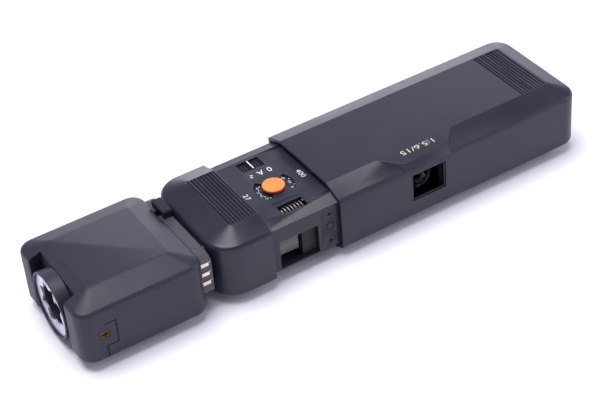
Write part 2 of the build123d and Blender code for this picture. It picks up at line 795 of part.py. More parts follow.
blade_y = shutter_y + shutter_plate_thickness + 0.06
blade_radius = barrel_bore + 0.6
with BuildPart() as blade:
    with BuildSketch(plane_y(blade_y)):
        with Locations((lens_x, lens_z)):
            Circle(blade_radius)
        with Locations((pivot_x, pivot_z)):
            Circle(1.1)
        with BuildLine():
            Polyline((lens_x, lens_z + 0.8), (pivot_x + 0.7, pivot_z + 0.7), (pivot_x - 0.7, pivot_z - 0.7),
                     (lens_x - 0.8, lens_z), close=True)
        make_face()
        with Locations((pivot_x, pivot_z)):
            Circle(pivot_radius + running_gap, mode=Mode.SUBTRACT)
    extrude(amount=-blade_thickness)
save(blade.part, "shutter_blade")

magnet_y = blade_y + 1.9
save(upright(lens_x + 9.2, magnet_y, 1.7, lens_z - 4.0, lens_z + 2.6), "shutter_magnet")

# ---------------------------------------------------------------- film path
box_half = spool_spacing / 2 - chamber_radius - swing_gap
box_wall = 0.4
film_low = cassette_bottom + (cassette_height - film_width) / 2
film_high = film_low + film_width
box_front = blade_y + blade_thickness + 0.35
box_back = film_plane_y - film_thickness / 2 - 0.1
box_low = film_low + 0.05
box_high = film_high - 0.05
with BuildPart() as light_box:
    add(block(lens_x - box_half, lens_x + box_half, box_front, box_back, box_low, box_high))
    add(block(lens_x - box_half + box_wall, lens_x + box_half - box_wall, box_front + box_wall,
              box_back + 1, box_low + box_wall, box_high - box_wall), mode=Mode.SUBTRACT)
    with BuildSketch(plane_y(box_front - 0.5)):
        with Locations((lens_x, lens_z)):
            Circle(blade_radius - 0.3)
    extrude(amount=-1.5, mode=Mode.SUBTRACT)
save(light_box.part, "light_box")

spool_low = cassette_bottom + 0.5 + part_gap
spool_high = cassette_bottom + cassette_height - 0.5 - part_gap
supply_x = lens_x - spool_spacing / 2
take_up_x = lens_x + spool_spacing / 2
chambers = ((supply_x, chamber_y), (take_up_x, chamber_y))
post_core = 0.9
bridge_half = spool_spacing / 2 - chamber_radius + 1
with BuildPart() as cassette:
    with BuildSketch(Plane.XY.offset(cassette_bottom)):
        with Locations(*chambers):
            Circle(chamber_radius)
        with Locations((lens_x, film_plane_y - 0.1)):
            Rectangle(2 * bridge_half, 3.0)
    extrude(amount=cassette_height)
    # the gate between the chambers, then the chambers themselves
    with BuildSketch(Plane.XY.offset(cassette_bottom + 0.5)):
        with Locations((lens_x, film_plane_y)):
            Rectangle(2 * bridge_half - 2, 6.0)
    extrude(amount=cassette_height - 1.0, mode=Mode.SUBTRACT)
    with BuildSketch(Plane.XY.offset(cassette_bottom + 0.5)):
        with Locations(*chambers):
            Circle(chamber_radius - chamber_wall)
        # slits that the film leaves by
        with Locations((lens_x, film_plane_y)):
            Rectangle(spool_spacing - 4, 0.8)
    extrude(amount=cassette_height - 1.0, mode=Mode.SUBTRACT)
    with BuildSketch(Plane.XY.offset(cassette_bottom + 0.4)):
        with Locations((supply_x, chamber_y)):
            Circle(post_core)
    extrude(amount=cassette_height - 0.8)
    with BuildSketch(Plane.XY.offset(cassette_bottom)):
        with Locations((take_up_x, chamber_y)):
            Circle(shaft_radius + running_gap)
    extrude(amount=0.6, mode=Mode.SUBTRACT)
save(cassette.part, "film_cassette")

save(block(supply_x, take_up_x, film_plane_y - film_thickness / 2, film_plane_y + film_thickness / 2,
           film_low, film_high), "film_strip")

with BuildPart() as supply_roll:
    with BuildSketch(Plane.XY.offset(film_low)):
        with Locations((supply_x, chamber_y)):
            Circle(roll_radius)
            Circle(post_core + running_gap, mode=Mode.SUBTRACT)
    extrude(amount=film_width)
save(supply_roll.part, "supply_roll")

shaft_top = spool_low + 3.0
with BuildPart() as take_up:
    with BuildSketch(Plane.XY.offset(spool_low)):
        with Locations((take_up_x, chamber_y)):
            Circle(roll_radius)
    extrude(amount=spool_high - spool_low)
    with BuildSketch(Plane.XY.offset(spool_low)):
        with Locations((take_up_x, chamber_y)):
            Circle(shaft_radius + 0.02)
    extrude(amount=shaft_top - spool_low + 0.05, mode=Mode.SUBTRACT)
save(take_up.part, "take_up_spool")

plate_y = film_plane_y + film_thickness / 2 + 0.08
pressure_thickness = 0.7
with BuildPart() as pressure_plate:
    with BuildSketch(plane_y(plate_y)):
        with Locations((lens_x, lens_z)):
            RectangleRounded(2 * box_half - 0.4, box_high - box_low - 0.2, 0.5)
    extrude(amount=-pressure_thickness)
save(pressure_plate.part, "pressure_plate")

spring_start = plate_y + pressure_thickness + 0.02
spring_end = -chassis_front - chassis_wall - 0.02
with BuildPart() as pressure_spring:
    with BuildSketch(plane_y(spring_start)):
        with Locations((lens_x, lens_z)):
            Circle(2.2)
            Circle(1.6, mode=Mode.SUBTRACT)
    extrude(amount=spring_start - spring_end)
save(pressure_spring.part, "pressure_spring")

# ---------------------------------------------------------------- film advance gear
angle = math.radians(pressure_angle)
base_radius = pinion_pitch * math.cos(angle)
tip_radius = pinion_pitch + gear_module
root_radius = pinion_pitch - rack_addendum - 0.15
tooth = math.pi * gear_module / 2 - gear_backlash / 2


def involute(a):
    """Involute function of an angle in radians."""
    return math.tan(a) - a


def half_tooth(radius):
    """Half the tooth's angle at this radius, in radians."""
    here = math.acos(min(1.0, base_radius / radius))
    return tooth / (2 * pinion_pitch) + involute(angle) - involute(here)


flank = [base_radius + i * (tip_radius - base_radius) / 5 for i in range(6)]
pinion_points = []
for number in range(pinion_teeth):
    middle = 2 * math.pi * (number + 0.5) / pinion_teeth
    sides = [(root_radius, -half_tooth(base_radius))] + [(r, -half_tooth(r)) for r in flank]
    sides += [(r, -a) for r, a in reversed(sides)]
    pinion_points += [(take_up_x + r * math.cos(middle + a), chamber_y + r * math.sin(middle + a))
                      for r, a in sides]

with BuildPart() as pinion:
    with BuildSketch(Plane.XY.offset(gear_bottom)):
        with BuildLine():
            Polyline(*pinion_points, close=True)
        make_face()
    extrude(amount=gear_thickness)
    with BuildSketch(Plane.XY.offset(floor_top - 0.5 * chassis_wall)):
        with Locations((take_up_x, chamber_y)):
            Circle(shaft_radius)
    extrude(amount=shaft_top - floor_top + 0.5 * chassis_wall)
save(pinion.part, "advance_pinion")

rack_pitch = math.pi * gear_module
rack_root = rack_y - gear_module - 0.12
rack_left = take_up_x - 2.2 * rack_pitch
rack_right = x_right - sleeve_wall
rack_teeth = round((travel + 5) / rack_pitch)
lean = math.tan(angle)
rack_points = [(rack_left, rack_y - rack_depth), (rack_left, rack_root)]
for number in range(rack_teeth):
    middle = take_up_x + (number - 1) * rack_pitch
    half_root = tooth / 2 + (rack_y - rack_root) * lean
    half_tip = tooth / 2 - rack_addendum * lean
    rack_points += [(middle - half_root, rack_root), (middle - half_tip, rack_y + rack_addendum),
                    (middle + half_tip, rack_y + rack_addendum), (middle + half_root, rack_root)]
rack_points += [(rack_right, rack_root), (rack_right, rack_y - rack_depth)]
tab_thickness = end_gap + slide_gap - 0.2
rack_limit = bevelled_bar(x_mouth, x_right, sleeve_end_bevel, sleeve_end_bevel,
                          sleeve_wall + 0.03, sleeve_corner)
with BuildPart() as rack:
    with BuildSketch(Plane.XY.offset(gear_bottom)):
        with BuildLine():
            Polyline(*rack_points, close=True)
        make_face()
    extrude(amount=gear_thickness)
    add(block(rack_right - tab_thickness, rack_right, rack_y - rack_depth - 2, rack_y + 2,
              gear_bottom, socket_z))
    add(rack_limit, mode=Mode.INTERSECT)
save(rack.part, "advance_rack")

# ---------------------------------------------------------------- battery
battery_x = x_cap_out + chassis_inset + chassis_wall + 2 * part_gap + battery_radius
with BuildPart() as battery:
    add(crosswise(battery_x, battery_z, battery_radius, -battery_length / 2, battery_length / 2 - 0.6))
    add(crosswise(battery_x, battery_z, 2.6, battery_length / 2 - 0.7, battery_length / 2))
save(battery.part, "battery")

contact_start = battery_length / 2 + 0.03
contact_end = body_width / 2 - chassis_inset - chassis_wall - 0.03
with BuildPart() as battery_contacts:
    for low, high in ((contact_start, contact_end), (-contact_end, -contact_start)):
        add(crosswise(battery_x, battery_z, 2.4, low, high))
        add(crosswise(battery_x, battery_z, 1.9, low - 0.1, high - 0.25 if low < 0 else high),
            mode=Mode.SUBTRACT)
save(battery_contacts.part, "battery_contacts")

pin_ends = (x_cap_out - 0.05, x_cap_out + chassis_inset + chassis_wall)
with BuildPart() as flash_pins:
    for z in strip_z:
        add(lengthwise(pin_y, z, pin_radius, *pin_ends))
save(flash_pins.part, "flash_contact_pins")

# ---------------------------------------------------------------- adapter
adapter_skin = bevelled_bar(x_adapter_left, x_adapter_right, adapter_left_bevel,
                            adapter_right_bevel, 0, adapter_corner, rounded=True)
adapter_hollow = bevelled_bar(x_adapter_left, x_adapter_right, adapter_left_bevel,
                              adapter_right_bevel, adapter_wall, adapter_corner)
bay_back = x_adapter_left + bay_depth
bay_walls = block(x_adapter_left, bay_back + adapter_wall, -bay_half_width - adapter_wall,
                  bay_half_width + adapter_wall, 0, body_height)
bay_space = block(x_adapter_left - 5, bay_back, -bay_half_width, bay_half_width, -5,
                  body_height + 5)
neck_left = x_adapter_right - 2.6
neck_right = x_cap_out - neck_gap
neck_space = block(neck_left - 0.03, neck_right, -neck_half_width - 0.03, neck_half_width + 0.03,
                   neck_bottom - 0.03, neck_top + 0.03)
hub_radius = 5.4
side_screw = ((x_adapter_left + 5.35, 9.0),)
side_screw_head = 1.15
base_left = bay_back + adapter_wall + 2.5
base_right = x_adapter_right - 7.0
base_half = 8.0
base_points = [(base_left + 2.2, 0), (base_right - 2.2, 0)]
base_face = Plane.XY.offset(0.05).rotated((180, 0, 0))
seam_right = x_adapter_left + 8.1
seam_left = x_adapter_left + 5.5
seam_top = 11.7
seam_low = 5.9
seam_width = 0.22

with BuildPart() as housing_inner:
    add(bay_walls)
    with BuildSketch(Plane.XY.offset(adapter_wall + 0.02)):
        with Locations(*base_points):
            Circle(1.8)
    extrude(amount=body_height - adapter_wall - 1)
    add(crosswise(*side_screw[0], 1.7, -body_width / 2 + 0.5, -body_width / 2 + 4.5))
    add(adapter_skin, mode=Mode.INTERSECT)

with BuildPart() as housing:
    add(adapter_skin)
    add(adapter_hollow, mode=Mode.SUBTRACT)
    add(housing_inner.part)
    add(bay_space, mode=Mode.SUBTRACT)
    add(neck_space, mode=Mode.SUBTRACT)
    # bearing of the cube socket
    with BuildSketch(Plane.YZ.offset(bay_back - 1)):
        with Locations((0, socket_z)):
            Circle(hub_radius + running_gap)
    extrude(amount=adapter_wall + 2, mode=Mode.SUBTRACT)
    # opening for the base cover
    with BuildSketch():
        with Locations(((base_left + base_right) / 2, 0)):
            RectangleRounded(base_right - base_left, 2 * base_half, 1.5)
    extrude(amount=adapter_wall, mode=Mode.SUBTRACT)
    with BuildSketch(Plane.XY):
        with Locations(*base_points):
            Circle(screw_shank_radius + running_gap / 2)
    extrude(amount=5, mode=Mode.SUBTRACT)
    # seam of the side tab
    with BuildSketch(plane_y(-body_width / 2)):
        with Locations((seam_right, (seam_top + seam_low) / 2)):
            Rectangle(seam_width, seam_top - seam_low + seam_width)
        for z in (seam_top, seam_low):
            with Locations(((seam_left + seam_right) / 2, z)):
                Rectangle(seam_right - seam_left, seam_width)
        with Locations((seam_left, (seam_low + bottom_bevel_rise) / 2)):
            Rectangle(seam_width, seam_low - bottom_bevel_rise)
    extrude(amount=-0.3, mode=Mode.SUBTRACT)
    add(screw_holes(plane_y(-body_width / 2 + 0.05), side_screw, 2.5, side_screw_head),
        mode=Mode.SUBTRACT)
    with BuildSketch(plane_y(-body_width / 2)):
        with Locations(*side_screw):
            Circle(side_screw_head + 2 * running_gap)
    extrude(amount=-0.06, mode=Mode.SUBTRACT)
    # bay that the latch slides into
    add(block(x_adapter_right - latch_bay, x_adapter_right + 1, latch_y - latch_width / 2 - 0.2,
              latch_y + latch_width / 2 + 0.2, neck_top, body_height), mode=Mode.SUBTRACT)
save(housing.part, "adapter_housing")

save(cross_screws(plane_y(-body_width / 2 + 0.05), side_screw, 2.4, side_screw_head),
     "adapter_side_screw")

with BuildPart() as base_cover:
    with BuildSketch(Plane.XY):
        with Locations(((base_left + base_right) / 2, 0)):
            RectangleRounded(base_right - base_left - 2 * part_gap, 2 * base_half - 2 * part_gap, 1.4)
    extrude(amount=adapter_wall - 0.02)
    add(screw_holes(base_face, [(x, -y) for x, y in base_points], 2.5), mode=Mode.SUBTRACT)
save(base_cover.part, "adapter_base_cover")
save(cross_screws(base_face, [(x, -y) for x, y in base_points], 2.4), "adapter_base_screws")

strip_left = x_adapter_right - 0.2
strip_right = neck_right - 0.75
latch_left = x_adapter_right + 0.4
latch_right = x_cap_out - 0.5
latch_foot = 0.5
with BuildPart() as neck:
    add(block(neck_left, neck_right, -neck_half_width, neck_half_width, neck_bottom, neck_top))
    chamfer(neck.edges().filter_by(Axis.X).group_by(Axis.Z)[-1], length=1.0, length2=1.6)
    # boss that meets the end cap
    add(block(neck_right - 0.5, x_cap_out - part_gap, -9.5, 9.5, neck_bottom + 1.2, neck_top - 1.2))
    for y in (-peg_y, peg_y):
        add(lengthwise(y, battery_z, peg_radius, neck_right - 0.5, x_cap_out + cap_wall - part_gap))
    with BuildSketch(plane_y(-neck_half_width)):
        for z in strip_z:
            with Locations(((strip_left + strip_right) / 2, z)):
                Rectangle(strip_right - strip_left + 0.04, strip_height + 0.04)
    extrude(amount=-0.3, mode=Mode.SUBTRACT)
    # channel for the latch's foot
    add(block(latch_left - latch_travel - part_gap, latch_left + latch_foot + part_gap,
              latch_y - 1.0, latch_y + 1.0, neck_top - 1.6, neck_top + 1), mode=Mode.SUBTRACT)
save(neck.part, "adapter_neck")

with BuildPart() as strips:
    with BuildSketch(plane_y(-neck_half_width - 0.15)):
        for z in strip_z:
            with Locations(((strip_left + strip_right) / 2, z)):
                Rectangle(strip_right - strip_left, strip_height)
    extrude(amount=-0.43)
save(strips.part, "contact_strips")

lead_y = -neck_half_width + 2.6
with BuildPart() as leads:
    for z in strip_z:
        add(block(bay_back + adapter_wall + 0.3, neck_left - 0.2, lead_y, lead_y + 0.3,
                  z - strip_height / 2, z + strip_height / 2))
save(leads.part, "contact_leads")

with BuildPart() as latch:
    add(block(latch_left, latch_right, latch_y - latch_width / 2, latch_y + latch_width / 2,
              neck_top + part_gap, latch_top))
    chamfer(latch.faces().sort_by(Axis.Z)[-1].edges(), 0.25)
    add(block(latch_left, latch_left + latch_foot, latch_y - 0.9, latch_y + 0.9, neck_top - 1.5,
              neck_top + 0.5))
save(latch.part, "release_latch")

# ---------------------------------------------------------------- turning cube socket
recess_radius = socket_radius - socket_rim
cavity_radius = 4.4
retainer_x = bay_back + adapter_wall + 0.1
socket_end = retainer_x + 1.6
with BuildPart() as socket:
    add(lengthwise(0, socket_z, socket_radius, x_left, bay_back - 0.15))
    add(lengthwise(0, socket_z, hub_radius, bay_back - 0.2, socket_end))
    add(lengthwise(0, socket_z, recess_radius, x_left - 1, x_left + 1.1), mode=Mode.SUBTRACT)
    add(lengthwise(0, socket_z, cavity_radius, x_left + 1, socket_end - 0.8), mode=Mode.SUBTRACT)
    fillet(socket.faces().sort_by(Axis.X)[0].edges().sort_by(SortBy.LENGTH)[-1], 0.2)
save(socket.part, "cube_socket")

star = []
for number in range(16):
    reach = 5.5 if number % 2 else 4.15
    turn = math.pi * number / 8
    star.append((reach * math.cos(turn), socket_z + reach * math.sin(turn)))
with BuildPart() as socket_plate:
    with BuildSketch(Plane.YZ.offset(x_left + 0.55)):
        with Locations((0, socket_z)):
            Circle(recess_radius - 0.03)
        with BuildLine():
            Polyline(*star, close=True)
        make_face(mode=Mode.SUBTRACT)
    extrude(amount=0.5)
save(socket_plate.part, "socket_plate")

with BuildPart() as socket_contacts:
    for y in (-1.7, 1.7):
        add(block(x_left + 1.8, socket_end - 0.82, y - 0.35, y + 0.35, socket_z - 1.2,
                  socket_z + 1.2))
save(socket_contacts.part, "socket_contacts")

with BuildPart() as retainer:
    with BuildSketch(Plane.YZ.offset(retainer_x)):
        with Locations((0, socket_z)):
            Circle(hub_radius + 1.2)
            Circle(hub_radius + 0.02, mode=Mode.SUBTRACT)
    extrude(amount=0.8)
save(retainer.part, "socket_retainer")
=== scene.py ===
# %% [markdown]
# # A subminiature pull-apart camera, finished in Blender
# The working model of this little camera already exists: casings, gears, lens, film path and a
# flash adapter, each a named node on a moving body. This lesson loads it, gives every node a
# procedural finish, and adds the small things that only a mesh tool makes well: eased edges,
# printed marks, a wound coil and a dial scale. All sizes are in metres.

from math import cos, pi, radians, sin

import bmesh
import bpy
from mathutils import Matrix, Vector


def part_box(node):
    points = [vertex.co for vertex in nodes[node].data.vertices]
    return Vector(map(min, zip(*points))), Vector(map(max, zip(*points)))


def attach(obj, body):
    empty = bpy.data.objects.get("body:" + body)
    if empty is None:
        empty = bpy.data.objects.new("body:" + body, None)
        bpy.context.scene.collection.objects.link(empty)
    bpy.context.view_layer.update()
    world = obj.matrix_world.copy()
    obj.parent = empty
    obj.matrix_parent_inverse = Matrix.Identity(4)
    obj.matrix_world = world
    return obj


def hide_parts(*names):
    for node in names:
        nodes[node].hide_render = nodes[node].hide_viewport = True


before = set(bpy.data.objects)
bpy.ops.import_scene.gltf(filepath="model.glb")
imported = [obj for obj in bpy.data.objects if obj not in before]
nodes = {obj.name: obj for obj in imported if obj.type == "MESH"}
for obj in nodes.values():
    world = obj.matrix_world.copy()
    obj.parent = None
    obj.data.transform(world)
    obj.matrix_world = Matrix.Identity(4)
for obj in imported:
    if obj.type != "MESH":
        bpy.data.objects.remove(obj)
scene = bpy.context.scene
mm = 0.001
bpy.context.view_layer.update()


def middle(node):
    """Centre of a node's box."""
    low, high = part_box(node)
    return (low + high) / 2


# %% [markdown]
# ## Shader arithmetic
# A procedural finish is mostly sums on masks. Wrapping a node socket in a small class lets a sum
# be written as Python, and each operator adds the Math node that Blender needs. `Finish` holds one
# material and has a single method for any other kind of node.


# %% A socket that does arithmetic
class Value:
    """A node's output; arithmetic on it adds Math nodes to the same material."""

    def __init__(self, finish, socket):
        self.finish = finish
        self.socket = socket

    def math(self, operation, *others):
        made = self.finish.node("ShaderNodeMath", {"operation": operation},
                                dict(enumerate((self, *others))))
        return Value(self.finish, made.outputs[0])

    def __add__(self, other):
        return self.math("ADD", other)

    def __sub__(self, other):
        return self.math("SUBTRACT", other)

    def __rsub__(self, other):
        return self.math("MULTIPLY_ADD", -1.0, other)

    def __mul__(self, other):
        return self.math("MULTIPLY", other)

    def __lt__(self, other):
        return self.math("LESS_THAN", other)

    def __gt__(self, other):
        return self.math("GREATER_THAN", other)

    def __abs__(self):
        return self.math("ABSOLUTE")

    def wave(self, length):
        """Sine of this value, one turn for each length, from 0 to 1."""
        return (self * (2 * pi / length)).math("SINE") * 0.5 + 0.5

    def ramp(self, low, high):
        """0 below low, 1 above high, smooth between."""
        made = self.finish.node("ShaderNodeMapRange", {"interpolation_type": "SMOOTHSTEP"},
                                {"Value": self, "From Min": low, "From Max": high})
        return Value(self.finish, made.outputs["Result"])

    __radd__ = __add__
    __rmul__ = __mul__


class Finish:
    """One procedural material: a Principled surface and the nodes that feed it."""

    def __init__(self, name, **constants):
        self.material = bpy.data.materials.new(name)
        self.material.use_nodes = True
        self.tree = self.material.node_tree
        self.surface = self.tree.nodes["Principled BSDF"]
        for words, value in constants.items():
            self.surface.inputs[words.replace("_", " ").title().replace("Ior", "IOR")] \
                .default_value = value
        self.place = self.node("ShaderNodeTexCoord").outputs["Object"]
        axes = self.node("ShaderNodeSeparateXYZ", sockets={0: self.place}).outputs
        self.x, self.y, self.z = (Value(self, axis) for axis in axes)

    def node(self, kind, settings=None, sockets=None):
        """Any node: its settings first, then the values or links of its sockets."""
        made = self.tree.nodes.new(kind)
        for name, value in (settings or {}).items():
            setattr(made, name, value)
        for name, value in (sockets or {}).items():
            self.feed(made.inputs[name], value)
        return made

    def feed(self, socket, value):
        value = value.socket if isinstance(value, Value) else value
        if isinstance(value, bpy.types.NodeSocket):
            self.tree.links.new(value, socket)
        else:
            socket.default_value = value

    def noise(self, grain, detail=2.0, stretch=None):
        """Noise from 0 to 1 whose features are about grain metres across."""
        where = self.place
        if stretch:
            where = self.node("ShaderNodeMapping", sockets={"Vector": where, "Scale": stretch})
            where = where.outputs[0]
        made = self.node("ShaderNodeTexNoise",
                         sockets={"Vector": where, "Scale": 1 / grain, "Detail": detail})
        return Value(self, made.outputs[0])

    def cells(self, grain):
        """Distance to the nearest of many scattered points, in cells."""
        made = self.node("ShaderNodeTexVoronoi", sockets={"Vector": self.place, "Scale": 1 / grain})
        return Value(self, made.outputs["Distance"])

    def mix(self, mask, first, second):
        """Colour that goes from first to second as mask goes from 0 to 1."""
        made = self.node("ShaderNodeMix", {"data_type": "RGBA"}, {0: mask, 6: first, 7: second})
        return made.outputs[2]

    def colour(self, value):
        self.feed(self.surface.inputs["Base Color"], value)

    def roughness(self, value):
        self.feed(self.surface.inputs["Roughness"], value)

    def bump(self, height, depth):
        """height from 0 to 1 stands depth metres proud."""
        made = self.node("ShaderNodeBump", sockets={"Height": height, "Distance": depth})
        self.feed(self.surface.inputs["Normal"], made.outputs["Normal"])


print("helpers ready")

# %% [markdown]
# ## Moulded black plastic
# The casings are black ABS with a spark-eroded surface: under a soft light it is a dull blue-grey,
# and the grain is a few tenths of a millimetre. One recipe makes them all, with the tone and the
# gloss as its two choices: large cloudy patches where hands polished it, a fine grain in the bump,
# and a few pale specks of dust.


# %% Black plastic recipes
def rgb(red, green, blue):
    return (red, green, blue, 1.0)


def moulded_black(name, tone=1.0, gloss=0.42, grain=0.25 * mm, depth=0.012 * mm, dust=0.5):
    finish = Finish(name, ior=1.46)
    clouds = finish.noise(9 * mm, 3.0)
    grains = finish.noise(grain, 2.0)
    scuffs = finish.noise(2.2 * mm, 6.0, stretch=(1.0, 0.25, 1.0)).ramp(0.6, 0.74)
    dark = rgb(*(tone * part for part in (0.012, 0.012, 0.024)))
    light = rgb(*(tone * part for part in (0.021, 0.020, 0.037)))
    plastic = finish.mix(clouds * 0.6 + grains * 0.4, dark, light)
    specks = (finish.cells(2.6 * mm) < 0.028 * dust)
    finish.skin, finish.grains = finish.mix(specks * 0.5, plastic, rgb(0.45, 0.45, 0.5)), grains
    finish.colour(finish.skin)
    finish.roughness(clouds * 0.14 + grains * 0.06 + scuffs * 0.05 + (gloss - 0.1))
    finish.bump(grains, depth)
    return finish


shell_black = moulded_black("sleeve plastic")
cap_black = moulded_black("end cap plastic", tone=0.95, gloss=0.34)
adapter_black = moulded_black("adapter plastic", tone=1.0, gloss=0.46)
deck_black = moulded_black("deck plastic", tone=0.95, gloss=0.42)
chassis_black = moulded_black("chassis plastic", tone=1.0, gloss=0.45)
inner_black = moulded_black("inner plastic", tone=0.55, gloss=0.55, dust=0.0)
part_black = moulded_black("small part plastic", tone=0.7, gloss=0.35, dust=0.0)
print("black plastics:", len([m for m in bpy.data.materials if "plastic" in m.name]))

# %% [markdown]
# ## Engraved lines on the deck
# Fine grooves frame the field round the button, and a short one runs beside the selector. They are
# a sixth of a millimetre wide and have no place in the solid model, so they are masks: each is a
# narrow band in X or Y, and the product of such bands is a line of limited length.

# %% Engrave the deck
deck_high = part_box("deck")[1]
button_middle = middle("shutter_button")
groove = 0.16 * mm
field_back_length, field_right_length, selector_line_length = 11.1 * mm, 5.4 * mm, 3.3 * mm


def band(value, centre, width):
    """1 where value is within width of centre, edge to edge."""
    return abs(value - centre) < width / 2


def engraved_line(finish, centre_x, centre_y, size_x, size_y):
    return band(finish.x, centre_x, size_x) * band(finish.y, centre_y, size_y)


field_right = button_middle.x + 5.6 * mm
field_back = button_middle.y + 4.2 * mm
grooves = (engraved_line(deck_black, button_middle.x + 0.25 * mm, field_back,
                         field_back_length, groove)
           + engraved_line(deck_black, field_right, button_middle.y + 1.2 * mm,
                           groove, field_right_length)
           + engraved_line(deck_black, button_middle.x + 4.3 * mm, button_middle.y + 9.1 * mm,
                           groove, selector_line_length))
grooves = grooves * (deck_black.z > deck_high.z - 0.05 * mm)      # the top face only
# Inside the grooves the colour is painted near black, as the shade in them; the bump sinks them.
deck_black.colour(deck_black.mix(grooves, deck_black.skin, rgb(0.004, 0.004, 0.006)))
deck_black.bump(deck_black.grains * 0.15 - grooves, 0.08 * mm)
print("grooves at X", round(field_right / mm, 2), "and Y", round(field_back / mm, 2))

# %% [markdown]
# ## Crinkled neck and ribbed baffle
# The neck between adapter and camera is cast with a crinkle, like wrinkled paint, so it gets rounder
# and deeper bumps than the casings; its colour is painted darker in the troughs and lighter on the
# crests, as shade and light. The baffle in the finder is ribbed to kill stray light, and a sine wave
# across it gives both the ribs and the shade between them.

# %% Rougher blacks
crinkle = Finish("crinkled black", ior=1.5)
wrinkles = crinkle.noise(0.42 * mm, 3.0)
# Painted shade in the wrinkles' troughs and painted light on their crests: the colour follows the bump
# height.
crinkle.colour(crinkle.mix(wrinkles, rgb(0.02, 0.02, 0.026), rgb(0.075, 0.073, 0.09)))
crinkle.roughness(wrinkles * -0.2 + 0.55)
crinkle.bump(wrinkles, 0.12 * mm)

baffle_black = Finish("ribbed baffle black", ior=1.45)
steps = baffle_black.y.wave(0.55 * mm)
baffle_black.colour(baffle_black.mix(steps, rgb(0.003, 0.003, 0.004), rgb(0.012, 0.011, 0.013)))
baffle_black.roughness(baffle_black.noise(0.3 * mm) * 0.2 + 0.5)
baffle_black.bump(steps, 0.08 * mm)
print("rough blacks ready")

# %% [markdown]
# ## Orange button
# The release button is a disc of orange plastic. It is slightly mottled, as light goes a little way
# into it, which a touch of subsurface scattering gives, and it is darker towards its rim.

# %% Orange plastic
button_low, button_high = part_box("shutter_button")
orange = Finish("orange plastic", ior=1.48, subsurface_weight=0.08, subsurface_scale=0.4 * mm)
blotches = orange.noise(1.3 * mm, 3.0)
off_x, off_y = orange.x - button_middle.x, orange.y - button_middle.y
out = (off_x * off_x + off_y * off_y).math("SQRT")
button_radius = (button_high.x - button_low.x) / 2
rim = out.ramp(button_radius - 0.25 * mm, button_radius)
mottled_orange = orange.mix(blotches, rgb(0.93, 0.24, 0.035), rgb(1.0, 0.31, 0.06))
# The outer quarter millimetre goes darker towards the rim.
orange.colour(orange.mix(rim, mottled_orange, rgb(0.55, 0.085, 0.02)))
orange.roughness(blotches * 0.2 + 0.35)
orange.bump(orange.noise(0.35 * mm), 0.01 * mm)
print("button radius", round(button_radius / mm, 2), "mm")

# %% [markdown]
# ## Metals
# Each metal has its own scratches. Stretched noise makes the drawn direction of a brushed part, and
# a Metallic of 1 with an uneven roughness keeps it from looking like paint.


# %% Metal recipe
def metal(name, dark, light, gloss=0.3, along=(1.0, 0.12, 1.0), scratch=0.3 * mm):
    finish = Finish(name, metallic=1.0)
    lines = finish.noise(scratch, 4.0, stretch=along)
    stains = finish.noise(1.8 * mm, 3.0).ramp(0.35, 0.75)
    finish.colour(finish.mix(lines * 0.5 + stains * 0.5, rgb(*dark), rgb(*light)))
    finish.roughness(lines * 0.18 + stains * -0.08 + gloss)
    finish.bump(lines, 0.006 * mm)
    return finish


steel = metal("blank steel", (0.42, 0.42, 0.44), (0.7, 0.7, 0.72), 0.28)
blackened = metal("blackened steel", (0.03, 0.03, 0.036), (0.085, 0.083, 0.095), 0.36)
brass = metal("brass", (0.5, 0.35, 0.13), (0.8, 0.6, 0.26), 0.3)
old_brass = metal("tarnished brass", (0.05, 0.03, 0.018), (0.16, 0.095, 0.05), 0.38)
gold = metal("gilt contact", (0.62, 0.5, 0.42), (0.95, 0.85, 0.74), 0.24, scratch=0.2 * mm)
silver = metal("socket silver", (0.5, 0.49, 0.58), (0.86, 0.85, 0.95), 0.38)
coil_metal = metal("coil wire", (0.3, 0.23, 0.22), (0.6, 0.5, 0.48), 0.3, scratch=0.5 * mm)
copper = metal("copper winding", (0.45, 0.17, 0.07), (0.85, 0.42, 0.22), 0.35)
print("metals ready")

# %% [markdown]
# ## Glass, film, board and battery
# The lens glasses use transmission with a faint tint; the finder's front glass is dark, with
# painted reflections in bands up its height. Film base is dark and glossy, the circuit board is
# green laminate with a woven look, and the battery has a printed ring at each end.

# %% Remaining finishes
glass = Finish("optical glass", ior=1.52, transmission_weight=1.0)
dew = glass.noise(1.5 * mm, 3.0)
glass.colour(glass.mix(dew, rgb(0.82, 0.86, 0.9), rgb(0.95, 0.96, 0.98)))
glass.roughness(dew * 0.06 + 0.02)

finder_glass = Finish("finder glass", ior=1.5, coat_weight=0.6)
haze = finder_glass.noise(2.0 * mm, 3.0)
# Painted reflections: lighter and darker bands up the finder glass's height.
painted_reflection_bands = finder_glass.z.wave(2.3 * mm)
finder_glass.colour(finder_glass.mix(haze * 0.4 + painted_reflection_bands * 0.6, rgb(0.012, 0.012, 0.013),
                                     rgb(0.075, 0.075, 0.078)))
finder_glass.roughness(haze * 0.3 + 0.12)

film_base = Finish("film base", ior=1.5)
streaks = film_base.noise(0.8 * mm, 2.0, stretch=(0.1, 1.0, 1.0))
film_base.colour(film_base.mix(streaks, rgb(0.05, 0.03, 0.03), rgb(0.11, 0.07, 0.06)))
film_base.roughness(streaks * 0.15 + 0.15)

laminate = Finish("board laminate", ior=1.5)
weave = laminate.x.wave(0.3 * mm) * laminate.y.wave(0.3 * mm)
tracks = (laminate.x.wave(1.3 * mm) > 0.8)
laminate.colour(laminate.mix(tracks * 0.6, rgb(0.02, 0.09, 0.04), rgb(0.12, 0.25, 0.09)))
laminate.roughness(weave * 0.2 + 0.35)
laminate.bump(tracks * 0.7 + weave * 0.3, 0.03 * mm)

